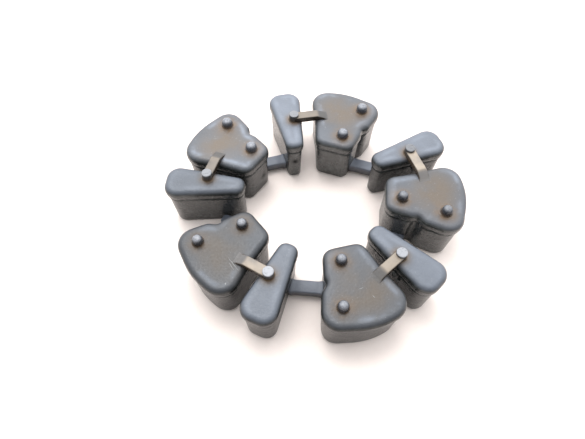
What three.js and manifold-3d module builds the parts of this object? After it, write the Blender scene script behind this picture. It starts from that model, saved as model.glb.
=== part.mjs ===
// Cush-drive rubber ring for a motorcycle rear hub: five large drive blocks and five small
// coast blocks, moulded as one loose ring. A raised strap bridges each coast block to its
// drive block, a low web joins each drive block to the next coast block, and pips and posts
// on top hold the blocks off the sprocket carrier.
// Millimetres, +Z up, origin at the centre of the ring's outline on the surface it lies on.

import * as THREE from 'three';
import { mergeVertices } from 'three/addons/utils/BufferGeometryUtils.js';
import Module from 'manifold-3d';

const wasm = await Module();
wasm.setup();

const DEG = Math.PI / 180;

// Blocks
const BLOCK_HEIGHT = 26.2;
const CAP_HEIGHT = 5.6;        // cap of each block, from its top down to the parting line
const CAP_ROUND = 2.2;         // rounded rim of the cap
const BODY_INSET = 1.2;        // the body stands inside the cap by this much
const BODY_ROUND = 1.9;        // rounded rims of the body; the upper one is inside the cap

// Drive block: corners of its outline, with their radii. The origin is midway between the
// two pips, +Y points outward along them and +X points to the web side.
const DRIVE_OUTLINE = [
  { x: -9.3, y: -20.0, r: 5.0 },
  { x: 7.8, y: -15.5, r: 5.0 },
  { x: 7.3, y: -3.4, r: 4.0 },
  { x: 6.0, y: -0.6, r: 1.5 },
  { x: 8.3, y: 3.2, r: 4.0 },
  { x: 8.8, y: 19.6, r: 7.5 },
  { x: -14.5, y: 17.9, r: 35.0 },
  { x: -30.0, y: 8.3, r: 8.0 },
  { x: -17.6, y: -7.0, r: 25.0 },
];

// Coast block: corners of its outline, with their radii. The origin is the axis of its post,
// +Y points outward along the block and +X points to its drive block.
const COAST_OUTLINE = [
  { x: -6.6, y: -17.5, r: 4.0 },
  { x: 1.8, y: -17.5, r: 4.0 },
  { x: 6.6, y: 20.0, r: 6.2 },
  { x: -11.4, y: 20.0, r: 6.2 },
];
const [COAST_WEB_INNER, , , COAST_WEB_OUTER] = COAST_OUTLINE;  // ends of its web-side flank

// Pips, posts, straps and webs
const PIP_SPACING = 20.0;
const PIP_RADIUS = 2.4;
const PIP_FOOT_RADIUS = 2.55;
const PIP_HEIGHT = 4.0;
const PIP_WALL = 1.8;          // height of its side, up to where it rounds over
const POST_RADIUS = 2.35;
const POST_FOOT_RADIUS = 2.45;
const POST_HEIGHT = 4.0;
const POST_FOOT = 0.6;         // height over which its foot draws in
const POST_CHAMFER = 0.4;
const STRAP_WIDTH = 5.1;
const STRAP_FOOT = { x: -12.7, y: -5.1 };  // middle of the ramp's toe on the drive block
const STRAP_RISE = 2.6;        // top of the strap above the blocks
const STRAP_RAMP = 4.4;
const STRAP_TOE = 0.5;
const WEB_WIDTH = 6.2;
const WEB_BOTTOM = 1.2;
const WEB_TOP = 5.8;
const WEB_ROUND = 0.6;
const WEB_ROOT = { x: 6.8, y: -6.0 };      // middle of its root, on the drive block's flank
const WEB_LANDING = 27.9;      // down the next coast block's flank from its outer corner
const GAP = 0.3;               // between pieces that touch
const OPEN_GAP = 0.9;          // at the web end that is free to swing clear

// Facets
const DRIVE_ARC_STEPS = 4;
const COAST_ARC_STEPS = 5;
const WEB_ARC_STEPS = 8;
const CAP_RIM_STEPS = 2;
const PIP_SIDES = 12;
const PIP_DOME_TURNS = [25, 50, 70];       // degrees up the dome
const POST_SIDES = 16;
const STRAP_CUT_SIDES = 24;

// How the loose ring lies: the place of each block's origin round the middle of the ring,
// and the heading of its +Y. The pairs run clockwise from above.
const PAIRS = [
  {
    name: 'a',
    drive: { radius: 46.2, angle: 64.8, heading: 57.2 },
    coast: { radius: 45.5, angle: 102.4, heading: 100.6 },
  },
  {
    name: 'b',
    drive: { radius: 48.9, angle: -8.3, heading: -22.1 },
    coast: { radius: 51.0, angle: 26.5, heading: 22.0 },
  },
  {
    name: 'c',
    drive: { radius: 45.4, angle: -77.9, heading: -91.1 },
    coast: { radius: 47.3, angle: -42.9, heading: -45.3 },
  },
  {
    name: 'd',
    drive: { radius: 46.8, angle: -152.6, heading: -156.4 },
    coast: { radius: 45.4, angle: -116.6, heading: -113.7 },
  },
  {
    name: 'e',
    drive: { radius: 49.2, angle: 138.4, heading: 129.5 },
    coast: { radius: 50.6, angle: 170.7, heading: 175.3 },
  },
];
const OPEN_WEB_AFTER = 'd';

// Colours
const CAP_GREY = 0x8f949c;
const COAST_GREY = 0x9aa0a8;
const PIP_GREY = 0x6f747c;
const POST_WHITE = 0xd9d9dc;
const STRAP_TAN = 0xa89a8c;
const WEB_GREY = 0x767b84;

// A closed outline with a round of radius r at each corner
function roundedOutline(corners) {
  const shape = new THREE.Shape();
  const count = corners.length;
  for (let i = 0; i < count; i += 1) {
    const corner = corners[i];
    const here = new THREE.Vector2(corner.x, corner.y);
    const back = corners[(i + count - 1) % count];
    const next = corners[(i + 1) % count];
    const toBack = new THREE.Vector2(back.x, back.y).sub(here).normalize();
    const toNext = new THREE.Vector2(next.x, next.y).sub(here).normalize();
    const half = Math.acos(toBack.dot(toNext)) / 2;
    const middle = toBack.clone().add(toNext).normalize();
    const centre = here.clone().addScaledVector(middle, corner.r / Math.sin(half));
    const start = here.clone().addScaledVector(toBack, corner.r / Math.tan(half)).sub(centre);
    const end = here.clone().addScaledVector(toNext, corner.r / Math.tan(half)).sub(centre);
    const clockwise = start.cross(end) < 0;
    shape.absarc(centre.x, centre.y, corner.r, start.angle(), end.angle(), clockwise);
  }
  shape.closePath();
  return shape;
}

// An outline raised from bottom to top, drawn in by inset, with both rims rounded
function raised(shape, bottom, top, round, inset, arcSteps, rimSteps) {
  const geometry = new THREE.ExtrudeGeometry(shape, {
    depth: top - bottom - 2 * round,
    curveSegments: arcSteps,
    bevelThickness: round,
    bevelSize: round,
    bevelOffset: -round - inset,
    bevelSegments: rimSteps,
  });
  geometry.translate(0, 0, bottom + round);
  return geometry;
}

function toSolid(geometry) {
  const bare = geometry.clone();
  bare.deleteAttribute('normal');
  bare.deleteAttribute('uv');
  const merged = mergeVertices(bare);
  return new wasm.Manifold(new wasm.Mesh({
    numProp: 3,
    vertProperties: new Float32Array(merged.attributes.position.array),
    triVerts: new Uint32Array(merged.index.array),
  }));
}

function toGeometry(solid) {
  const mesh = solid.getMesh();
  const geometry = new THREE.BufferGeometry();
  geometry.setAttribute('position', new THREE.BufferAttribute(mesh.vertProperties, 3));
  geometry.setIndex(new THREE.BufferAttribute(mesh.triVerts, 1));
  return geometry;
}

// A cap with a rounded rim and a sharp parting edge, on a slightly smaller body
function blockGeometry(shape, arcSteps) {
  const parting = BLOCK_HEIGHT - CAP_HEIGHT;
  const dome = raised(shape, parting - CAP_ROUND, BLOCK_HEIGHT, CAP_ROUND, 0, arcSteps, CAP_RIM_STEPS);
  const body = raised(shape, 0, parting + 2 * BODY_ROUND, BODY_ROUND, BODY_INSET, arcSteps, 1);
  const cap = toSolid(dome).trimByPlane([0, 0, 1], parting);
  return toGeometry(cap.add(toSolid(body)));
}

// A turned piece: a profile of radius and height, from the axis back to the axis
function turned(profile, segments) {
  const points = profile.map(([radius, height]) => new THREE.Vector2(radius, height));
  const geometry = new THREE.LatheGeometry(points, segments);
  geometry.rotateX(Math.PI / 2);
  return geometry;
}

function pipGeometry() {
  const dome = PIP_HEIGHT - GAP - PIP_WALL;
  const profile = [[0, 0], [PIP_FOOT_RADIUS, 0], [PIP_RADIUS, PIP_WALL]];
  for (const turn of PIP_DOME_TURNS) {
    profile.push([PIP_RADIUS * Math.cos(turn * DEG), PIP_WALL + dome * Math.sin(turn * DEG)]);
  }
  profile.push([0, PIP_HEIGHT - GAP]);
  return turned(profile, PIP_SIDES);
}

function postGeometry() {
  const top = POST_HEIGHT - GAP;
  const profile = [
    [0, 0],
    [POST_FOOT_RADIUS, 0],
    [POST_RADIUS, POST_FOOT],
    [POST_RADIUS, top - POST_CHAMFER],
    [POST_RADIUS - POST_CHAMFER, top],
    [0, top],
  ];
  return turned(profile, POST_SIDES);
}

// The strap runs along +X from the post at the origin and ramps down onto the drive block.
// Its near end is cut round the post.
function strapGeometry(length) {
  const profile = new THREE.Shape();
  profile.moveTo(0, GAP);
  profile.lineTo(length, GAP);
  profile.lineTo(length, GAP + STRAP_TOE);
  profile.lineTo(length - STRAP_RAMP, STRAP_RISE);
  profile.lineTo(0, STRAP_RISE);
  profile.closePath();
  const bar = new THREE.ExtrudeGeometry(profile, { depth: STRAP_WIDTH, bevelEnabled: false });
  bar.rotateX(Math.PI / 2);
  bar.translate(0, STRAP_WIDTH / 2, 0);
  const clear = POST_FOOT_RADIUS + GAP;
  const cutter = new THREE.CylinderGeometry(clear, clear, 4 * STRAP_RISE, STRAP_CUT_SIDES);
  cutter.rotateX(Math.PI / 2);
  return toGeometry(toSolid(bar).subtract(toSolid(cutter)));
}

// The web, in its drive block's frame: a bar from the block's flank to a round end. Its root
// edge lies along the flank, whichever way the bar points.
function webGeometry(end) {
  const half = WEB_WIDTH / 2;
  const bearing = Math.atan2(end.y - WEB_ROOT.y, end.x - WEB_ROOT.x);
  const rootHalf = half / Math.cos(bearing);
  const shape = new THREE.Shape();
  shape.moveTo(WEB_ROOT.x, WEB_ROOT.y - rootHalf);
  shape.lineTo(end.x + half * Math.sin(bearing), end.y - half * Math.cos(bearing));
  shape.absarc(end.x, end.y, half, bearing - Math.PI / 2, bearing + Math.PI / 2, false);
  shape.lineTo(WEB_ROOT.x, WEB_ROOT.y + rootHalf);
  shape.closePath();
  return raised(shape, WEB_BOTTOM, WEB_TOP, WEB_ROUND, 0, WEB_ARC_STEPS, 1);
}

function named(name, geometry, color, roughness) {
  const material = new THREE.MeshStandardMaterial({ color, roughness, metalness: 0 });
  const mesh = new THREE.Mesh(geometry, material);
  mesh.name = name;
  return mesh;
}

// A block's own frame in the ring
function blockFrame(place) {
  const frame = new THREE.Group();
  const angle = place.angle * DEG;
  frame.position.set(place.radius * Math.cos(angle), place.radius * Math.sin(angle), 0);
  frame.rotation.z = (place.heading - 90) * DEG;
  frame.updateMatrix();
  return frame;
}

// A point of one frame, in the coordinates of another
function pointFrom(frame, { x, y }, otherFrame) {
  const toOther = otherFrame.matrix.clone().invert();
  return new THREE.Vector3(x, y, 0).applyMatrix4(frame.matrix).applyMatrix4(toOther);
}

// Where the round end of a web has its centre, in its drive block's frame: beside the flank
// of the next pair's coast block, at a clearance from it
function webEnd(drive, nextCoast, clearance) {
  const outer = new THREE.Vector2(COAST_WEB_OUTER.x, COAST_WEB_OUTER.y);
  const inner = new THREE.Vector2(COAST_WEB_INNER.x, COAST_WEB_INNER.y);
  const inward = inner.sub(outer).normalize();
  const away = new THREE.Vector2(inward.y, -inward.x);
  const centre = outer
    .addScaledVector(inward, WEB_LANDING)
    .addScaledVector(away, clearance - BODY_INSET + WEB_WIDTH / 2);
  return pointFrom(nextCoast, centre, drive);
}

const driveShape = roundedOutline(DRIVE_OUTLINE);
const coastShape = roundedOutline(COAST_OUTLINE);
const ring = new THREE.Group();
const driveFrames = PAIRS.map((pair) => blockFrame(pair.drive));
const coastFrames = PAIRS.map((pair) => blockFrame(pair.coast));

PAIRS.forEach((pair, index) => {
  const drive = driveFrames[index];
  const coast = coastFrames[index];
  const next = (index + 1) % PAIRS.length;
  const id = pair.name;

  drive.add(named(`drive_block_${id}`, blockGeometry(driveShape, DRIVE_ARC_STEPS), CAP_GREY, 0.75));
  coast.add(named(`coast_block_${id}`, blockGeometry(coastShape, COAST_ARC_STEPS), COAST_GREY, 0.75));

  for (const [end, side] of [['inner', -1], ['outer', 1]]) {
    const pip = named(`pip_${end}_${id}`, pipGeometry(), PIP_GREY, 0.5);
    pip.position.set(0, side * PIP_SPACING / 2, BLOCK_HEIGHT + GAP);
    drive.add(pip);
  }

  const post = named(`stop_post_${id}`, postGeometry(), POST_WHITE, 0.6);
  post.position.z = BLOCK_HEIGHT + GAP;
  coast.add(post);

  const postAxis = pointFrom(coast, { x: 0, y: 0 }, drive);
  const run = new THREE.Vector2(STRAP_FOOT.x - postAxis.x, STRAP_FOOT.y - postAxis.y);
  const strap = named(`bridge_strap_${id}`, strapGeometry(run.length()), STRAP_TAN, 0.8);
  strap.position.set(postAxis.x, postAxis.y, BLOCK_HEIGHT);
  strap.rotation.z = run.angle();
  drive.add(strap);

  const clearance = id === OPEN_WEB_AFTER ? OPEN_GAP : GAP;
  const end = webEnd(drive, coastFrames[next], clearance);
  const webName = `floor_web_${id}${PAIRS[next].name}`;
  drive.add(named(webName, webGeometry(end), WEB_GREY, 0.75));

  ring.add(drive, coast);
});

// Centre the outline on the origin
ring.updateMatrixWorld(true);
const middle = new THREE.Box3().setFromObject(ring, true).getCenter(new THREE.Vector3());
ring.position.set(-middle.x, -middle.y, 0);

export default ring;
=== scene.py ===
"""Looks of a used cush-drive damper ring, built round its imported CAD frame. Metres, +Z up."""

import math

import bpy
import numpy as np
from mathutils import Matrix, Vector, noise


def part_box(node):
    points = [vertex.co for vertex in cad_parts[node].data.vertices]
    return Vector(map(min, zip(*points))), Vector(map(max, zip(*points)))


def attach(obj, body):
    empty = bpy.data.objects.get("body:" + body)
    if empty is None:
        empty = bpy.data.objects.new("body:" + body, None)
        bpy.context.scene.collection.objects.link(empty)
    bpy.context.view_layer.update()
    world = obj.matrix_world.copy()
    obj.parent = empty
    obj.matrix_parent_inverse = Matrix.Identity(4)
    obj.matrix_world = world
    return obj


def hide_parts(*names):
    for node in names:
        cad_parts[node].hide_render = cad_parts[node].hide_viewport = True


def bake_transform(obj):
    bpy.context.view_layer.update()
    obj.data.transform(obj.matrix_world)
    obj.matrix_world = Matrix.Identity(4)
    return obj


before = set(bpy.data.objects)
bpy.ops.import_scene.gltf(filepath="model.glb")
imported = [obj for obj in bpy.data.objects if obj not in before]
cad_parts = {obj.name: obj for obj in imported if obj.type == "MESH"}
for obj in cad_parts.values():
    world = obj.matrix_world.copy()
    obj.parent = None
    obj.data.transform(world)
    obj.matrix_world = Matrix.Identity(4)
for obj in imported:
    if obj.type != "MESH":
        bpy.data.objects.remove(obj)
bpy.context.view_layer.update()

MM = 0.001
PAIRS = "abcde"
NEXT = dict(zip(PAIRS, "bcdea"))
OPEN_WEB_AFTER = "d"        # the web that no joint ties to the next coast block

# Blocks
CAP_HEIGHT = 5.6 * MM       # from the top down to the parting line
CAP_RIM = 2.7 * MM          # rounded rim of the cap
BODY_INSET = 0.80 * MM      # the body stands inside the cap, just under the parting line
FOOT_INSET = 1.20 * MM      # and inside it by this much above its rounded foot
FOOT_ROUND = 1.5 * MM
# Inset and height over the parting line, mm: the crease under the cap, its flash, its side
LIP = ((0.98, -1.1), (1.2, -0.7), (1.16, -0.4), (0.65, -0.22), (0.28, -0.08), (0.24, 0.06), (0.55, 0.18),
       (0.28, 0.42), (0.08, 0.85), (0.0, 1.5))
LIP_DEPTH = 1.5 * MM        # the straight wall ends this far under the parting line
OUTLINE_LIFT = 0.1 * MM     # a block's outline is cut this far above it
OUTLINE_SOFTENING = 1.6     # in points
AROUND = 260                # points round a block
WALL_RINGS = 25
TOP_RINGS = 28
UNDER_RINGS = (0.25, 0.5, 0.75)   # rings of the underside, as shares of the way out to its edge
NOTCH = (6.2 * MM, -0.6 * MM)   # the groove down a drive block's wall, in its own axes
NOTCH_DEPTH = 1.1 * MM
NOTCH_WIDTH = 1.0 * MM
NOTCH_FADE = 3 * MM         # below this height it fades out towards the floor

# Uneven rubber: how wide the lumps and dimples are, and how deep on the caps and on the walls
LUMP_SIZE = 7 * MM
DIMPLE_SIZE = 2.2 * MM
CAP_LUMP = 0.06 * MM
CAP_DIMPLE = 0.015 * MM
WALL_LUMP = 0.10 * MM
WALL_DIMPLE = 0.035 * MM
CAP_UNEVEN = 1 * MM             # full at the top of a cap, and gone this far under it
WALL_UNEVEN = (3 * MM, 8 * MM)  # grows between these heights
RIM_EVEN = (2 * MM, 0.6 * MM)   # and is gone again between these depths under the top

# Where the grey bloom starts and is full, under the top of a cap
BLOOM_START = 1.9 * MM
BLOOM_FULL = 0.1 * MM
RIM_HIGHLIGHT_INSET = 3.5 * MM       # a painted highlight: a lighter band on the flat, this far in from the edge
RIM_HIGHLIGHT_WIDTH = 0.8 * MM
RIM_HIGHLIGHT_START = 0.5 * MM # it starts this far under the top
STAIN_START = 1.6 * MM      # dust and rust start this far under the top
FOOT_SHADE_FULL = 0.4 * MM        # painted shade along the foot of a wall, where it meets the floor, from the floor up
FOOT_SHADE_END = 3.2 * MM
FLASH_HEIGHT = 0.16 * MM

# Dust on a drive block, as an oval in its own axes, and rust round the pips and the post
DUST_CENTRE = (-9 * MM, 3 * MM)
DUST_SQUEEZE = 0.85         # of distances along x
DUST_FULL = 3 * MM
DUST_END = 15 * MM
PIP_RUST = (2.3 * MM, 2.1 * MM)     # radius of the foot, and how far the rust fades beyond it
POST_RUST = (2.0 * MM, 1.6 * MM)

# Pips, posts, straps and webs
TURNED_SIDES = 48
FILLET = 0.8 * MM           # where a pip or post grows out of its block
FOOT_SINK = 0.25 * MM       # its foot starts this deep in the block
FILLET_SINK = 0.05 * MM     # and the fillet this deep
WEAR_SIZE = 1.1 * MM        # dimples worn into it
WEAR_DEPTH = 0.12 * MM
WEAR_RISE = 3 * MM          # they are at their deepest from this height over the block
FOOT_RUST = 0.1 * MM        # rust is full up to this height over the block
PIP_DOME = 0.5              # share of a pip's height
PIP_FLATNESS = 0.7          # of the dome: 1 is round, and less is flatter
PIP_TIP = 0.12 * MM
PIP_PALE_TOP = (0.72, 0.99)     # shares of its height between which the pale top grows: wear, and a painted highlight
PIP_RUST_END = 1.5 * MM
POST_WIDTH = 0.96           # share of the CAD's
POST_EDGE = 0.35 * MM
POST_WORN = (0.45 * MM, 0.2 * MM)   # depths under its end between which the pale wear grows
POST_RUST_END = 1.7 * MM
POST_END_RINGS = (0.8, 0.6, 0.4, 0.2)
CORNER_POINTS = 5           # round each edge of a strap, web or scratch
STRAP_EDGE = 0.55 * MM
STRAP_SINK = 0.5 * MM       # the strap's foot goes this deep into the blocks
STRAP_RAMP = 4.4 * MM       # its sloping end on the drive block
STRAP_TAIL = 1.3 * MM       # and beyond that, the fillet that runs out onto the cap
STRAP_LANDING = 0.4 * MM    # the strap's height where the fillet starts
STRAP_END = -0.12 * MM      # and where it has run out
STRAP_SPREAD = 0.35 * MM    # it widens by this on each side there
STRAP_CREASE = 0.2 * MM     # no ring lies this near the crease where the slope starts
STRAP_WALL = (0.35 * MM, 0.05 * MM) # the sides' dark tone grows between these distances from an edge
STRAP_DUSTLESS = 0.8        # share of its dust that the slope lacks
STRAP_LUMP_SIZE = 2.0 * MM
STRAP_LUMP = 0.07 * MM
WEB_EDGE = 0.8 * MM
WEB_BITE = 1.9 * MM         # the web's ends go this deep past their CAD ends, into the bodies
OPEN_WEB_BITE = 0.2 * MM    # the open web's free end is round, and stops short of the next body
WEB_FLARE = 0.8 * MM        # how far the flare at a wall reaches
WEB_FLARE_SIDE = 0.3 * MM
WEB_FLARE_UNDER = 0.1 * MM
WEB_FLARE_OVER = 0.2 * MM
WEB_LUMP_SIZE = 3.0 * MM
WEB_LUMP = 0.08 * MM
WEB_RINGS = 44
WEB_CROWDING = 1.5          # above 1 the rings stand closer together towards the web's far end

# How light or dark each block's bloom and walls, each strap and each web are, and how pale each
# post's end is worn
DRIVE_TONE = {"a": 0.94, "b": 0.80, "c": 0.42, "d": 0.20, "e": 1.0}
COAST_TONE = {"a": 0.84, "b": 0.71, "c": 0.50, "d": 0.40, "e": 0.33}
DRIVE_WALL_TONE = {"a": 1.0, "b": 1.0, "c": 0.05, "d": 0.20, "e": 0.63}
COAST_WALL_TONE = {"a": 0.95, "b": 0.55, "c": 0.53, "d": 0.0, "e": 0.62}
POST_WEAR = {"a": 0.57, "b": 0.40, "c": 0.87, "d": 1.0, "e": 0.66}
STRAP_TONE = {"a": 0.26, "b": 0.99, "c": 0.50, "d": 0.78, "e": 0.26}
WEB_TONE = {"a": 0.66, "b": 0.50, "c": 0.52, "d": 0.50, "e": 0.64}    # by the drive block it starts at

# The pips: width as a share of the CAD's, how light the sides are, how pale the top is, worn and lit by a
# painted highlight
PIP_WIDTH = {"a": 1.05, "b": 0.93, "c": 0.90, "d": 0.92, "e": 1.05}
PIP_TONE = {"a": 0.85, "b": 0.35, "c": 0.30, "d": 0.20, "e": 0.95}
PIP_WEAR_AND_HIGHLIGHT = {"a": 0.45, "b": 0.50, "c": 0.70, "d": 1.0, "e": 0.40}

# Marks on the caps: drive block, start and end in its own axes in mm, half width in mm
SCRATCHES = (("d", (-11.9, 0.6), (-19.3, -1.2), 0.13), ("d", (-14.1, 1.2), (-18.4, 0.4), 0.10),
             ("d", (-22.1, 5.4), (-22.9, 5.8), 0.28), ("c", (-6.6, 2.3), (-8.6, 1.3), 0.11),
             ("c", (-12.0, 4.6), (-12.8, 5.6), 0.09), ("e", (-9.0, 6.0), (-10.6, 7.4), 0.08))
SCRATCH_SINK = 0.20 * MM
SCRATCH_RISE = 0.015 * MM
SCRATCH_SWAY = 0.16 * MM
SCRATCH_SWAY_SIZE = 1.6 * MM

# Pits torn in the walls, drawn only as painted shade: which block, x and y in its own axes, height, radius,
# mm
PITS = {("coast", "a"): (-2.5, -16.6, 13.0, 1.2), ("drive", "e"): (1.5, -15.8, 10.0, 1.5)}

# Torn rubber nubs under the straps: coast block, x and y in its own axes, height, radius, mm
NUBS = (("a", 4.3, 5.0, 17.5, 1.0), ("c", 3.9, 2.2, 17.0, 1.1), ("c", 4.3, 4.6, 15.2, 0.8),
        ("d", 2.9, -5.2, 18.6, 1.0), ("b", 4.0, 3.0, 16.5, 0.9))
NUB_OUTLINE = 15 * MM       # the block's own axes are taken from its outline at this height
NUB_STRETCH = 1.3           # upward and downward
NUB_LUMP_SIZE = 0.7 * MM
NUB_LUMP = 0.55             # share of a point's distance from the middle

# Camera, at the height and tilt that the ring is seen from
CAMERA_PLACE = (-0.01013, -0.10835, 0.1876)
CAMERA_TILT = math.radians(30.0)
CAMERA_LENS = 26.1

FLOOR_REACH = 12.0          # from the middle of the floor to its edges


# ---------- reading the frame ----------

def mesh_arrays(node):
    """Vertices and triangles of a CAD node."""
    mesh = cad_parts[node].data
    mesh.calc_loop_triangles()
    points = np.array([v.co for v in mesh.vertices])
    triangles = np.array([t.vertices for t in mesh.loop_triangles])
    return points, triangles


def crossings(node, height):
    """Where a CAD node's triangles cross a level: pairs of points."""
    points, triangles = mesh_arrays(node)
    pairs = []
    for corners in points[triangles]:
        above = corners[:, 2] > height
        if above.all() or not above.any():
            continue
        ends = []
        for a, b in ((0, 1), (1, 2), (2, 0)):
            if above[a] != above[b]:
                share = (height - corners[a, 2]) / (corners[b, 2] - corners[a, 2])
                ends.append((corners[a] + share * (corners[b] - corners[a]))[:2])
        pairs.append(ends)
    return np.array(pairs)


def evenly(loop, count):
    """A closed loop's points, spaced evenly along it."""
    closed = np.vstack([loop, loop[:1]])
    steps = np.hypot(*np.diff(closed, axis=0).T)
    along = np.concatenate([[0.0], np.cumsum(steps)])
    wanted = np.linspace(0.0, along[-1], count, endpoint=False)
    return np.column_stack([np.interp(wanted, along, closed[:, k]) for k in (0, 1)])


def softened(loop, width):
    """A closed loop with its facets smoothed out over a width counted in points."""
    waves = np.fft.rfftfreq(len(loop)) * 2 * math.pi
    keep = np.exp(-0.5 * (waves * width) ** 2)
    return np.column_stack([np.fft.irfft(np.fft.rfft(loop[:, k]) * keep, len(loop)) for k in (0, 1)])


def outline(node, height):
    """A block's outline at a level, anticlockwise, even and smooth."""
    points = crossings(node, height).reshape(-1, 2)
    middle = points.mean(axis=0)
    turn = np.arctan2(*(points - middle).T[::-1])
    loop = points[np.argsort(turn)]
    distinct = np.hypot(*(loop - np.roll(loop, 1, axis=0)).T) > 1e-6
    return softened(evenly(loop[distinct], AROUND), OUTLINE_SOFTENING)


def outward_normals(loop):
    ahead = np.roll(loop, -1, axis=0) - np.roll(loop, 1, axis=0)
    normals = np.column_stack([ahead[:, 1], -ahead[:, 0]])
    return normals / np.hypot(*normals.T)[:, None]


def level(loop, height):
    """A loop of the plane, raised to a height."""
    return np.column_stack([loop, np.full(len(loop), height)])


def flat_centre(node):
    low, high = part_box(node)
    return np.array(((low + high) / 2)[:2])


class Axes:
    """A block's own axes: y points outward along it, and x clockwise round the ring."""

    def __init__(self, origin, y):
        self.origin = origin
        self.y = y / np.hypot(*y)
        self.x = np.array([self.y[1], -self.y[0]])

    def local(self, points):
        away = points[:, :2] - self.origin
        return np.column_stack([away @ self.x, away @ self.y])

    def place(self, x, y):
        return self.origin + x * self.x + y * self.y


def drive_axes(pair):
    inner = flat_centre(f"pip_inner_{pair}")
    outer = flat_centre(f"pip_outer_{pair}")
    return Axes((inner + outer) / 2, outer - inner)


def coast_axes(pair, loop):
    """The long axis of the block, through the post."""
    spread = np.linalg.eigh(np.cov((loop - loop.mean(axis=0)).T))
    along = spread[1][:, 1]
    post = flat_centre(f"stop_post_{pair}")
    return Axes(post, along if along @ post > 0 else -along)


# ---------- making meshes ----------

def lofted(name, rings, low_point, high_point):
    """A closed skin through rings of points, closed at each end by a fan round a point.

    Its faces point outward if the rings run anticlockwise seen from the last one.
    """
    count = len(rings[0])
    points = np.vstack(rings)
    faces = []
    for k in range(len(rings) - 1):
        for i in range(count):
            j = (i + 1) % count
            faces.append((k * count + i, k * count + j, (k + 1) * count + j, (k + 1) * count + i))
    last = (len(rings) - 1) * count
    for point, start, inward in ((low_point, 0, True), (high_point, last, False)):
        tip = len(points)
        points = np.vstack([points, [point]])
        for i in range(count):
            j = (i + 1) % count
            a, b = (start + j, start + i) if inward else (start + i, start + j)
            faces.append((a, b, tip))
    mesh = bpy.data.meshes.new(name)
    mesh.from_pydata(points.tolist(), [], faces)
    mesh.validate()
    mesh.shade_smooth()
    piece = bpy.data.objects.new(name, mesh)
    bpy.context.scene.collection.objects.link(piece)
    return piece


def vertices(piece):
    return np.array([v.co for v in piece.data.vertices])


def move_vertices(piece, points):
    piece.data.vertices.foreach_set("co", points.astype(np.float32).ravel())
    piece.data.update()


def paint(piece, tone=0.5, **layers):
    """Writes named shares from 0 to 1 on a piece's points, for its material to read."""
    layers["tone"] = np.full(len(piece.data.vertices), tone)
    for layer, values in layers.items():
        attribute = piece.data.attributes.new(layer, "FLOAT", "POINT")
        attribute.data.foreach_set("value", np.clip(values, 0, 1).astype(np.float32))


def rumple(points, size, seed):
    """Smooth noise from about -1 to 1 at each point, with features of a size."""
    shift = Vector((seed * 3.1, seed * 7.7, seed * 1.3))
    return np.array([noise.noise(Vector(p) / size + shift) for p in points])


def bell(distance, width):
    return np.exp(-0.5 * (distance / width) ** 2)


def ramp(values, start, end):
    share = np.clip((values - start) / (end - start), 0, 1)
    return share * share * (3 - 2 * share)


# ---------- blocks ----------

def wall_profile(top):
    """Inset and height up a block's wall, from the edge of its underside to that of its top."""
    parting = top - CAP_HEIGHT
    steps = []
    for turn in np.linspace(0, math.pi / 2, 8):
        steps.append((FOOT_INSET + FOOT_ROUND * (1 - math.sin(turn)), FOOT_ROUND * (1 - math.cos(turn))))
    for share in np.linspace(0, 1, WALL_RINGS)[1:]:
        inset = FOOT_INSET + share * (BODY_INSET - FOOT_INSET)
        steps.append((inset, FOOT_ROUND + share * (parting - LIP_DEPTH - FOOT_ROUND)))
    for inset, rise in LIP:
        steps.append((inset * MM, parting + rise * MM))
    for turn in np.linspace(0, math.pi / 2, 11):
        steps.append((CAP_RIM * (1 - math.cos(turn)), top - CAP_RIM * (1 - math.sin(turn))))
    return steps


def block_mesh(name, loop, top, seed, groove=None):
    """A block: drafted body, thin parting flash, and a cap with a soft rim and a dusty top."""
    normals = outward_normals(loop)
    middle = loop.mean(axis=0)
    parting = top - CAP_HEIGHT
    rings = []
    for inset, height in wall_profile(top):
        pull = np.full(len(loop), inset)
        if groove is not None and height < parting:
            pull = pull + groove * ramp(np.full(len(loop), height), 0, NOTCH_FADE)
        rings.append(level(loop - normals * pull[:, None], height))
    rim = rings[-1][:, :2]
    foot = rings[0][:, :2]
    for share in np.linspace(1, 0, TOP_RINGS, endpoint=False)[1:]:
        rings.append(level(middle + (rim - middle) * share, top))
    under = [level(middle + (foot - middle) * share, 0.0) for share in UNDER_RINGS]
    piece = lofted(name, under + rings, (*middle, 0.0), (*middle, top))
    points = vertices(piece)
    lumps = rumple(points, LUMP_SIZE, seed)
    dimples = rumple(points, DIMPLE_SIZE, seed + 9)
    sunk = np.abs(lumps * CAP_LUMP + dimples * CAP_DIMPLE)
    points[:, 2] -= sunk * ramp(points[:, 2], top - CAP_UNEVEN, top)
    away = points[:, :2] - middle
    away /= np.maximum(np.hypot(*away.T), 1e-9)[:, None]
    side = ramp(points[:, 2], *WALL_UNEVEN)
    side *= 1 - ramp(points[:, 2], top - RIM_EVEN[0], top - RIM_EVEN[1])
    points[:, :2] += away * ((lumps * WALL_LUMP + dimples * WALL_DIMPLE) * side)[:, None]
    move_vertices(piece, points)
    return piece


def side_share(points, top):
    """1 on the bare sides and rim of a block, 0 where the cap carries its grey bloom."""
    return 1 - ramp(points[:, 2], top - BLOOM_START, top - BLOOM_FULL)


def foot_shade_share(points):
    """Painted shade along the foot of a wall, where it meets the floor."""
    return 1 - ramp(points[:, 2], FOOT_SHADE_FULL, FOOT_SHADE_END)


def flash_share(points, top):
    """1 along the parting line, where a thin flash stands out."""
    return bell(points[:, 2] - (top - CAP_HEIGHT), FLASH_HEIGHT)


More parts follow.
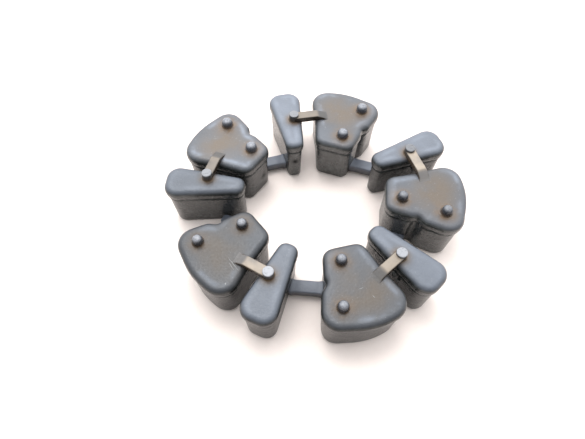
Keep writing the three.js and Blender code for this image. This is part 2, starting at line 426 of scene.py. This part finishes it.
def rim_highlight_share(points, loop, top):
    """A painted highlight: a lighter band along the edge of a cap's flat, where its rim starts to round
    off.
    """
    gaps = [np.hypot(*(points[:, :2] - corner).T) for corner in loop[::2]]
    band = bell(np.min(gaps, axis=0) - RIM_HIGHLIGHT_INSET, RIM_HIGHLIGHT_WIDTH)
    return band * ramp(points[:, 2], top - RIM_HIGHLIGHT_START, top - BLOOM_FULL)


def stain_share(points, top):
    """1 where a cap's top can hold dust and rust."""
    return ramp(points[:, 2], top - STAIN_START, top - BLOOM_FULL)


def pit_share(points, kind, pair, axes):
    """Painted shade of a pit in a wall, where the block has one; the mesh has no hollow there."""
    if (kind, pair) not in PITS:
        return np.zeros(len(points))
    x, y, height, radius = PITS[kind, pair]
    away = points - (*axes.place(x * MM, y * MM), height * MM)
    return bell(np.linalg.norm(away, axis=1), radius * MM)


def halo(points, centres, radius, width):
    """Stain round the feet of the pips or post."""
    share = np.zeros(len(points))
    for centre in centres:
        away = np.hypot(*(points[:, :2] - centre).T)
        share = np.maximum(share, bell(np.maximum(away - radius, 0), width))
    return share


def make_drive_block(pair, index):
    node = f"drive_block_{pair}"
    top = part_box(node)[1].z
    loop = outline(node, top - CAP_HEIGHT + OUTLINE_LIFT)
    axes = drive_axes(pair)
    place = axes.local(loop)
    groove = bell(np.hypot(*(place - NOTCH).T), NOTCH_WIDTH) * NOTCH_DEPTH
    piece = block_mesh(f"drive_moulding_{pair}", loop, top, index + 1, groove)
    points = vertices(piece)
    local = axes.local(points)
    upper = stain_share(points, top)
    from_dust = np.hypot((local[:, 0] - DUST_CENTRE[0]) * DUST_SQUEEZE, local[:, 1] - DUST_CENTRE[1])
    dust = ramp(-from_dust, -DUST_END, -DUST_FULL) * upper
    pips = [flat_centre(f"pip_inner_{pair}"), flat_centre(f"pip_outer_{pair}")]
    rust = halo(points, pips, *PIP_RUST) * upper
    side = side_share(points, top)
    tone = np.interp(side, (0, 1), (DRIVE_TONE[pair], DRIVE_WALL_TONE[pair]))
    # edge: a painted highlight band along the edge of the cap's flat
    # foot: painted shade where the wall meets the floor
    # pit: painted shade of a pit torn in the wall
    paint(piece, tone, dust=dust, rust=rust, side=side,
          edge=rim_highlight_share(points, loop, top), flash=flash_share(points, top), foot=foot_shade_share(points),
          pit=pit_share(points, "drive", pair, axes))
    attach(piece, f"drive_{pair}")
    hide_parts(node)
    return piece


def make_coast_block(pair, index):
    node = f"coast_block_{pair}"
    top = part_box(node)[1].z
    loop = outline(node, top - CAP_HEIGHT + OUTLINE_LIFT)
    axes = coast_axes(pair, loop)
    piece = block_mesh(f"coast_moulding_{pair}", loop, top, index + 11)
    points = vertices(piece)
    rust = halo(points, [axes.origin], *POST_RUST) * stain_share(points, top)
    side = side_share(points, top)
    tone = np.interp(side, (0, 1), (COAST_TONE[pair], COAST_WALL_TONE[pair]))
    # edge: a painted highlight band along the edge of the cap's flat
    # foot: painted shade where the wall meets the floor
    # pit: painted shade of a pit torn in the wall
    paint(piece, tone, dust=rust * 0.4, rust=rust, side=side,
          edge=rim_highlight_share(points, loop, top), flash=flash_share(points, top), foot=foot_shade_share(points),
          pit=pit_share(points, "coast", pair, axes))
    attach(piece, f"coast_{pair}")
    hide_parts(node)
    return piece


# ---------- pips and posts ----------

def turned(name, centre, base, profile, seed):
    """A turned piece round a vertical axis, from its foot to its top, worn a little uneven."""
    angles = np.linspace(0, 2 * math.pi, TURNED_SIDES, endpoint=False)
    rings = []
    for radius, height in profile:
        rings.append(np.column_stack([centre[0] + radius * np.cos(angles),
                                      centre[1] + radius * np.sin(angles),
                                      np.full(TURNED_SIDES, base + height)]))
    low = (*centre, base + profile[0][1])
    high = (*centre, base + profile[-1][1])
    piece = lofted(name, rings, low, high)
    points = vertices(piece)
    sunk = np.abs(rumple(points, WEAR_SIZE, seed)) * WEAR_DEPTH
    points[:, 2] -= sunk * ramp(points[:, 2], base, base + WEAR_RISE)
    move_vertices(piece, points)
    return piece


def footed(radius):
    """A sunk foot that curves up into a shaft of a radius."""
    steps = [(radius + FILLET, -FOOT_SINK)]
    for turn in np.linspace(0, math.pi / 2, 7):
        height = FILLET * (1 - math.cos(turn)) - FILLET_SINK
        steps.append((radius + FILLET * (1 - math.sin(turn)), height))
    return steps


def make_pip(pair, end, index):
    node = f"pip_{end}_{pair}"
    low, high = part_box(node)
    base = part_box(f"drive_block_{pair}")[1].z
    tall = high.z - base
    radius = (high.x - low.x) / 2 * PIP_WIDTH[pair]
    dome = PIP_DOME * tall
    profile = footed(radius)
    for turn in np.linspace(0, math.pi / 2, 12)[:-1]:
        profile.append((radius * math.cos(turn) ** PIP_FLATNESS, tall - dome + dome * math.sin(turn)))
    profile.append((PIP_TIP, tall))
    piece = turned(f"pip_knob_{end}_{pair}", flat_centre(node), base, profile, index + 31)
    height = vertices(piece)[:, 2] - base
    # The pale top of the dome: wear, and a painted highlight
    worn = PIP_WEAR_AND_HIGHLIGHT[pair] * ramp(height, PIP_PALE_TOP[0] * tall, PIP_PALE_TOP[1] * tall)
    paint(piece, PIP_TONE[pair], worn=worn, rust=1 - ramp(height, FOOT_RUST, PIP_RUST_END))
    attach(piece, f"drive_{pair}")
    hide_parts(node)
    return piece


def make_post(pair, index):
    node = f"stop_post_{pair}"
    low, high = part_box(node)
    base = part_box(f"coast_block_{pair}")[1].z
    tall = high.z - base
    radius = (high.x - low.x) / 2 * POST_WIDTH
    profile = footed(radius) + [(radius, tall - POST_EDGE)]
    for turn in np.linspace(0, math.pi / 2, 5)[1:]:
        profile.append((radius - POST_EDGE * (1 - math.cos(turn)), tall - POST_EDGE * (1 - math.sin(turn))))
    profile += [((radius - POST_EDGE) * share, tall) for share in POST_END_RINGS]
    piece = turned(f"post_{pair}", flat_centre(node), base, profile, index + 51)
    height = vertices(piece)[:, 2] - base
    worn = POST_WEAR[pair] * ramp(height, tall - POST_WORN[0], tall - POST_WORN[1])
    paint(piece, worn=worn, rust=1 - ramp(height, FOOT_RUST, POST_RUST_END))
    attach(piece, f"coast_{pair}")
    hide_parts(node)
    return piece


# ---------- straps and webs ----------

def rounded_section(half_width, low, high, edge):
    """A bar's section across its run: sideways and up, anticlockwise seen from its start."""
    corners = ((half_width, low, -90), (half_width, high, 0),
               (-half_width, high, 90), (-half_width, low, 180))
    section = []
    for side, height, start in corners:
        centre_side = side - math.copysign(edge, side)
        centre_height = height + edge if height == low else height - edge
        for turn in np.linspace(start, start + 90, CORNER_POINTS):
            angle = math.radians(turn)
            section.append((centre_side + edge * math.cos(angle), centre_height + edge * math.sin(angle)))
    return section


def bar(name, start, run, stations, shape):
    """A bar along run from start. shape(station) gives its half width, lowest and highest level, edge.

    Its faces point inward, because its rings run clockwise seen from the last one.
    """
    across = np.array([-run[1], run[0]])
    rings = []
    for station in stations:
        section = rounded_section(*shape(station))
        rings.append([(*(start + run * station - across * side), height) for side, height in section])
    rings = [np.array(ring) for ring in rings]
    return lofted(name, rings, rings[0].mean(axis=0), rings[-1].mean(axis=0))


def make_strap(pair, index):
    node = f"bridge_strap_{pair}"
    points, _ = mesh_arrays(node)
    post = flat_centre(f"stop_post_{pair}")
    run = flat_centre(node) - post
    run /= np.hypot(*run)
    for _ in range(2):
        reach = (points[:, :2] - post) @ run
        run = points[reach > reach.max() - 0.1 * MM, :2].mean(axis=0) - post
        length = np.hypot(*run)
        run /= length
    across = (points[:, :2] - post) @ np.array([-run[1], run[0]])
    half = across.max()
    slab_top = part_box(node)[1].z
    block_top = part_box(f"drive_block_{pair}")[1].z
    crease = length - STRAP_RAMP
    end = length + STRAP_TAIL
    heights = (slab_top, block_top + STRAP_LANDING, block_top + STRAP_END)

    def shape(station):
        top = np.interp(station, (crease, length, end), heights)
        bottom = block_top - STRAP_SINK
        spread = STRAP_SPREAD * ramp(station, crease, end)
        return half + spread, bottom, top, min(STRAP_EDGE, (top - bottom) * 0.45)

    flat = np.linspace(0, crease - STRAP_CREASE, 22)
    fall = np.linspace(crease + STRAP_CREASE, end, 18)
    piece = bar(f"strap_{pair}", post, run, np.concatenate([flat, fall]), shape)
    skin = vertices(piece)
    reach = (skin[:, :2] - post) @ run
    across = np.abs((skin[:, :2] - post) @ np.array([-run[1], run[0]]))
    skin[:, 2] += rumple(skin, STRAP_LUMP_SIZE, index + 71) * STRAP_LUMP
    move_vertices(piece, skin)
    side = ramp(across, half - STRAP_WALL[0], half - STRAP_WALL[1])
    side *= 1 - ramp(reach, length - 1 * MM, length)
    dust = (1 - side) * (1 - STRAP_DUSTLESS * ramp(reach, crease - 0.3 * MM, crease + 1.5 * MM))
    paint(piece, STRAP_TONE[pair], dust=dust, rust=side * 0.3, side=side)
    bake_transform(piece)
    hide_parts(node)
    return piece


def web_line(node, pair):
    """Start, direction, length and half width of a web, from the two long sides of its section."""
    low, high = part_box(node)
    sides = crossings(node, (low.z + high.z) / 2)
    spans = sides[:, 1] - sides[:, 0]
    lengths = np.hypot(*spans.T)
    longest = np.argsort(lengths)[-1]
    run = spans[longest] / lengths[longest]
    if run @ (flat_centre(node) - flat_centre(f"drive_block_{pair}")) < 0:
        run = -run
    across = np.array([-run[1], run[0]])
    points = sides.reshape(-1, 2)
    offset = points @ across
    reach = points @ run
    middle = (offset.max() + offset.min()) / 2
    start = run * reach.min() + across * middle
    return start, run, reach.max() - reach.min(), (offset.max() - offset.min()) / 2


def make_web(pair, index):
    follower = NEXT[pair]
    node = f"floor_web_{pair}{follower}"
    low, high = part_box(node)
    start, run, length, half = web_line(node, pair)

    free = pair == OPEN_WEB_AFTER
    tip = length + (OPEN_WEB_BITE if free else WEB_BITE)

    def shape(station):
        wall = bell(station, WEB_FLARE) + (0 if free else bell(station - length, WEB_FLARE))
        width = half + WEB_FLARE_SIDE * wall
        if free:
            past = max(station - (tip - half), 0) / half
            width *= math.sqrt(max(1 - past * past, 0.01))
        bottom = low.z - WEB_FLARE_UNDER * wall
        top = high.z + WEB_FLARE_OVER * wall
        return width, bottom, top, min(WEB_EDGE, 0.45 * width)

    stations = tip - (tip + WEB_BITE) * np.linspace(1, 0, WEB_RINGS) ** WEB_CROWDING
    piece = bar(f"web_{pair}{follower}", start, run, stations, shape)
    skin = vertices(piece)
    skin[:, 2] += rumple(skin, WEB_LUMP_SIZE, index + 91) * WEB_LUMP
    move_vertices(piece, skin)
    paint(piece, WEB_TONE[pair], side=1 - ramp(skin[:, 2], low.z + 1.0 * MM, high.z - 0.3 * MM))
    if free:
        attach(piece, f"drive_{pair}")
    else:
        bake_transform(piece)
    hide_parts(node)
    return piece


# ---------- small marks ----------

def make_scratch(number, pair, start, end, half):
    """A pale scuff just proud of a drive block's cap, fading to points at both ends."""
    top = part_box(f"drive_block_{pair}")[1].z
    axes = drive_axes(pair)
    begin = axes.place(start[0] * MM, start[1] * MM)
    run = axes.place(end[0] * MM, end[1] * MM) - begin
    length = np.hypot(*run)

    def shape(station):
        width = half * MM * (0.15 + math.sin(math.pi * station / length))
        return width, top - SCRATCH_SINK, top + SCRATCH_RISE, 0.3 * width

    piece = bar(f"scratch_{number}", begin, run / length, np.linspace(0, length, 24), shape)
    skin = vertices(piece)
    sway = rumple(skin * (1, 1, 0), SCRATCH_SWAY_SIZE, number) * SCRATCH_SWAY
    skin[:, :2] += sway[:, None] * axes.y
    move_vertices(piece, skin)
    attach(piece, f"drive_{pair}")
    return piece


def make_nub(number, pair, x, y, height, radius):
    """A torn lump of rubber on a coast block's wall."""
    loop = outline(f"coast_block_{pair}", NUB_OUTLINE)
    axes = coast_axes(pair, loop)
    centre = axes.place(x * MM, y * MM)
    angles = np.linspace(0, 2 * math.pi, 28, endpoint=False)
    spokes = np.column_stack([np.cos(angles), np.sin(angles)])
    rings = []
    for turn in np.radians(np.linspace(-70, 70, 15)):
        reach = radius * MM * math.cos(turn)
        rings.append(level(centre + spokes * reach, (height + NUB_STRETCH * radius * math.sin(turn)) * MM))
    piece = lofted(f"nub_{number}", rings, rings[0].mean(axis=0), rings[-1].mean(axis=0))
    skin = vertices(piece)
    away = skin - (*centre, height * MM)
    skin += away * (rumple(skin, NUB_LUMP_SIZE, number + 5) * NUB_LUMP)[:, None]
    move_vertices(piece, skin)
    paint(piece, side=np.ones(len(skin)))
    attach(piece, f"coast_{pair}")
    return piece


# ---------- materials ----------

def add(tree, kind, inputs=None, **settings):
    """A node with its settings and inputs; an input that is a socket is linked."""
    node = tree.nodes.new(kind)
    for key, value in settings.items():
        setattr(node, key, value)
    for key, value in (inputs or {}).items():
        if isinstance(value, bpy.types.NodeSocket):
            tree.links.new(value, node.inputs[key])
        else:
            node.inputs[key].default_value = value
    return node


def share_of(tree, layer):
    return add(tree, "ShaderNodeAttribute", attribute_name=layer).outputs["Fac"]


def cloud(tree, where, scale, detail=4.0, low=0.35, high=0.65):
    """Noise stretched so that low becomes 0 and high becomes 1."""
    texture = add(tree, "ShaderNodeTexNoise", {"Vector": where, "Scale": scale, "Detail": detail})
    return add(tree, "ShaderNodeMapRange",
               {"Value": texture.outputs["Fac"], "From Min": low, "From Max": high}).outputs["Result"]


def times(tree, first, second):
    product = add(tree, "ShaderNodeMath", {0: first, 1: second}, operation="MULTIPLY", use_clamp=True)
    return product.outputs[0]


def blended(tree, share, first, second):
    mix = tree.nodes.new("ShaderNodeMix")
    mix.data_type = "RGBA"
    for socket, value in ((0, share), (6, first), (7, second)):
        if isinstance(value, bpy.types.NodeSocket):
            tree.links.new(value, mix.inputs[socket])
        elif socket == 0:
            mix.inputs[0].default_value = value
        else:
            mix.inputs[socket].default_value = (*value, 1.0)
    return mix.outputs[2]


RUST = (0.098, 0.058, 0.027)
DUST = (0.09, 0.07, 0.05)
BROWN_DUST = (0.074, 0.054, 0.037)
PALE_DUST = (0.245, 0.198, 0.152)
# Colour of the painted highlight band along the edge of a cap's flat
RIM_HIGHLIGHT = (0.135, 0.150, 0.180)
# Near-black painted shade along the foot of a wall
PAINTED_FOOT_SHADE = (0.012, 0.010, 0.008)
PAINTED_PIT_SHADE = (0.001, 0.001, 0.001)
# Painted shade inside a pit
FLASH = (0.13, 0.13, 0.125)
SPECK = (0.35, 0.35, 0.35)
CHALK_AND_SHEEN_GAIN = 3.0            # pale patches on the walls, partly chalk and partly a painted reflection of the bright floor, as a multiple of their own colour

# How far each may cover what is under it
CHALK_AND_SHEEN_COVER = 0.35
RIM_HIGHLIGHT_COVER = 0.7
FOOT_SHADE_COVER = 0.85
RUST_COVER = 0.85
SPECK_COVER = 0.2

CAP_GLOSS = 0.5             # specular level of the caps
SIDE_GLOSS = 0.50           # and of the sides, where a piece's tone scales it too
SIDE_ROUGHNESS = 0.27
BUMP_HEIGHT = 0.18 * MM
BUMP_STRENGTH = 0.28


def rubber(name, top, body, dust, roughness, worn=None):
    """Old moulded rubber: grey bloom on the cap, darker satin sides, dust, rust and wear, and painted
    light: a highlight band near each cap's edge, reflection in pale wall patches, a highlight on each pip's
    top, and shade along the foot of the walls and in pits.
    """
    material = bpy.data.materials.new(name)
    material.use_nodes = True
    tree = material.node_tree
    shader = tree.nodes["Principled BSDF"]
    where = add(tree, "ShaderNodeTexCoord").outputs["Object"]
    stretch = add(tree, "ShaderNodeMapping", {"Vector": where, "Scale": (1.0, 1.0, 0.75)}).outputs[0]
    patches = cloud(tree, where, 70.0, low=0.3, high=0.7)
    grain = cloud(tree, where, 1100.0, low=0.3, high=0.7)
    streaks = cloud(tree, stretch, 380.0, detail=6.0, low=0.38, high=0.64)
    specks = cloud(tree, where, 1500.0, detail=1.0, low=0.71, high=0.77)

    colour = blended(tree, patches, tuple(c * 0.86 for c in top), tuple(c * 1.14 for c in top))
    wall = blended(tree, streaks, tuple(c * 0.75 for c in body), tuple(c * 1.25 for c in body))
    # Pale patches on the walls: partly chalky bloom, partly a painted reflection of the bright floor
    chalk_and_sheen = cloud(tree, stretch, 230.0, detail=8.0, low=0.50, high=0.66)
    wall = blended(tree, times(tree, chalk_and_sheen, CHALK_AND_SHEEN_COVER), wall, tuple(c * CHALK_AND_SHEEN_GAIN for c in body))
    colour = blended(tree, share_of(tree, "side"), colour, wall)
    dusty = times(tree, share_of(tree, "dust"), cloud(tree, where, 75.0, low=0.2, high=0.55))
    colour = blended(tree, dusty, colour, dust)
    # Painted highlight: a patchy lighter band along the edge of each cap's flat
    rim_highlight = times(tree, share_of(tree, "edge"), cloud(tree, where, 95.0, low=0.46, high=0.64))
    colour = blended(tree, times(tree, rim_highlight, RIM_HIGHLIGHT_COVER), colour, RIM_HIGHLIGHT)
    # Painted shade: near black along the foot of each wall, fading up from the floor
    foot_shade = times(tree, share_of(tree, "foot"), cloud(tree, where, 300.0, low=0.2, high=0.5))
    colour = blended(tree, times(tree, foot_shade, FOOT_SHADE_COVER), colour, PAINTED_FOOT_SHADE)
    # Painted shade: a near-black spot where a pit is torn in the wall
    colour = blended(tree, share_of(tree, "pit"), colour, PAINTED_PIT_SHADE)
    stain = times(tree, share_of(tree, "rust"), cloud(tree, where, 300.0, low=0.1, high=0.55))
    colour = blended(tree, times(tree, stain, RUST_COVER), colour, RUST)
    broken = cloud(tree, where, 330.0, low=0.42, high=0.60)
    colour = blended(tree, times(tree, share_of(tree, "flash"), broken), colour, FLASH)
    if worn is not None:
        # Pale wear on a post's end; on a pip's dome it is partly wear, partly a painted highlight
        patchy_wear_and_highlight = cloud(tree, where, 1100.0, low=0.15, high=0.45)
        colour = blended(tree, times(tree, share_of(tree, "worn"), patchy_wear_and_highlight), colour, worn)
    colour = blended(tree, times(tree, specks, SPECK_COVER), colour, SPECK)
    tone = add(tree, "ShaderNodeMapRange", {"Value": share_of(tree, "tone"), "To Min": 0.5, "To Max": 1.5})
    toned = add(tree, "ShaderNodeHueSaturation", {"Value": tone.outputs["Result"], "Color": colour})
    tree.links.new(toned.outputs["Color"], shader.inputs["Base Color"])

    dull = add(tree, "ShaderNodeMapRange",
               {"Value": grain, "To Min": roughness - 0.05, "To Max": roughness + 0.07})
    rough = add(tree, "ShaderNodeMix", {"Factor": share_of(tree, "side"), "A": dull.outputs["Result"],
                                        "B": SIDE_ROUGHNESS})
    tree.links.new(rough.outputs[0], shader.inputs["Roughness"])
    # No gloss where the pit's shade is painted
    unpitted = add(tree, "ShaderNodeMapRange",
                   {"Value": share_of(tree, "pit"), "To Min": 1.0, "To Max": 0.0})
    sheen = times(tree, times(tree, tone.outputs["Result"], SIDE_GLOSS), unpitted.outputs["Result"])
    gloss = add(tree, "ShaderNodeMix", {"Factor": share_of(tree, "side"), "A": CAP_GLOSS, "B": sheen})
    tree.links.new(gloss.outputs[0], shader.inputs["Specular IOR Level"])
    relief = add(tree, "ShaderNodeMath", {0: grain, 1: times(tree, streaks, share_of(tree, "side"))},
                 operation="ADD")
    bump = add(tree, "ShaderNodeBump",
               {"Strength": BUMP_STRENGTH, "Distance": BUMP_HEIGHT, "Height": relief.outputs[0]})
    tree.links.new(bump.outputs["Normal"], shader.inputs["Normal"])
    return material


MATERIALS = {
    "drive": rubber("drive_rubber", (0.054, 0.058, 0.067), (0.0245, 0.0262, 0.0255), BROWN_DUST, 0.42),
    "coast": rubber("coast_rubber", (0.094, 0.105, 0.127), (0.0255, 0.0272, 0.0265), DUST, 0.42),
    # The pip's pale top colour: partly wear, partly a painted highlight
    "pip": rubber("pip_rubber", (0.045, 0.047, 0.055), (0.03, 0.03, 0.03), DUST, 0.26,
                  worn=(0.27, 0.275, 0.30)),
    "post": rubber("post_rubber", (0.030, 0.030, 0.032), (0.03, 0.03, 0.03), DUST, 0.45,
                   worn=(0.31, 0.312, 0.33)),
    "strap": rubber("strap_rubber", (0.062, 0.062, 0.065), (0.016, 0.014, 0.012), PALE_DUST, 0.50),
    "web": rubber("web_rubber", (0.098, 0.108, 0.133), (0.030, 0.031, 0.034), DUST, 0.42),
    "scuff": rubber("scuffed_rubber", (0.40, 0.40, 0.39), (0.3, 0.3, 0.3), (0.3, 0.3, 0.3), 0.6),
    "nub": rubber("torn_rubber", (0.05, 0.05, 0.05), (0.055, 0.055, 0.052), DUST, 0.4),
}


def floor_paper():
    """Near-white card with a warm tint, which shows in its shadows."""
    material = bpy.data.materials.new("floor_card")
    material.use_nodes = True
    tree = material.node_tree
    shader = tree.nodes["Principled BSDF"]
    where = add(tree, "ShaderNodeTexCoord").outputs["Object"]
    colour = blended(tree, cloud(tree, where, 500.0), (0.88, 0.77, 0.71), (0.89, 0.785, 0.725))
    tree.links.new(colour, shader.inputs["Base Color"])
    shader.inputs["Roughness"].default_value = 0.9
    return material


# ---------- the scene ----------

def make_floor():
    """A wide sheet of card under the ring."""
    mesh = bpy.data.meshes.new("floor")
    mesh.from_pydata([(-FLOOR_REACH, -FLOOR_REACH, 0), (FLOOR_REACH, -FLOOR_REACH, 0),
                      (FLOOR_REACH, FLOOR_REACH, 0), (-FLOOR_REACH, FLOOR_REACH, 0)],
                     [], [(0, 1, 2, 3)])
    floor = bpy.data.objects.new("floor", mesh)
    bpy.context.scene.collection.objects.link(floor)
    mesh.materials.append(floor_paper())


def area_light(name, place, size, power):
    light = bpy.data.lights.new(name, "AREA")
    light.size = size
    light.energy = power
    lamp = bpy.data.objects.new(name, light)
    lamp.location = place
    lamp.rotation_euler = (-Vector(place)).to_track_quat("-Z", "Y").to_euler()
    bpy.context.scene.collection.objects.link(lamp)


def make_light():
    """A bright studio behind and above the ring, dim towards the camera and the horizon."""
    world = bpy.data.worlds.new("studio")
    world.use_nodes = True
    tree = world.node_tree
    background = tree.nodes["Background"]
    background.inputs["Color"].default_value = (0.94, 0.97, 1.0, 1.0)
    towards = add(tree, "ShaderNodeSeparateXYZ", {0: add(tree, "ShaderNodeTexCoord").outputs["Generated"]})
    up = add(tree, "ShaderNodeMapRange", {"Value": towards.outputs["Z"], "To Min": 0.5, "To Max": 2.2})
    back = add(tree, "ShaderNodeMapRange",
               {"Value": towards.outputs["Y"], "From Min": -0.5, "From Max": 0.8,
                "To Min": 0.35, "To Max": 2.4})
    glow = add(tree, "ShaderNodeMath", {0: up.outputs[0], 1: back.outputs[0]}, operation="MULTIPLY")
    tree.links.new(glow.outputs[0], background.inputs["Strength"])
    bpy.context.scene.world = world
    area_light("overhead_softbox", (-0.12, 0.30, 0.85), 0.4, 3.0)
    bpy.context.scene.view_settings.view_transform = "Standard"


def make_camera():
    data = bpy.data.cameras.new("camera")
    data.lens = CAMERA_LENS
    data.sensor_width = 36.0
    data.clip_start = 0.01
    camera = bpy.data.objects.new("camera", data)
    camera.location = CAMERA_PLACE
    camera.rotation_euler = (CAMERA_TILT, 0.0, 0.0)
    bpy.context.scene.collection.objects.link(camera)
    bpy.context.scene.camera = camera


make_camera()
make_light()
make_floor()
for index, pair in enumerate(PAIRS):
    made = {
        "drive": [make_drive_block(pair, index)],
        "coast": [make_coast_block(pair, index)],
        "pip": [make_pip(pair, "inner", 2 * index), make_pip(pair, "outer", 2 * index + 1)],
        "post": [make_post(pair, index)],
        "strap": [make_strap(pair, index)],
        "web": [make_web(pair, index)],
    }
    for kind, pieces in made.items():
        for piece in pieces:
            piece.data.materials.append(MATERIALS[kind])
for number, scratch in enumerate(SCRATCHES):
    make_scratch(number, *scratch).data.materials.append(MATERIALS["scuff"])
for number, nub in enumerate(NUBS):
    make_nub(number, *nub).data.materials.append(MATERIALS["nub"])
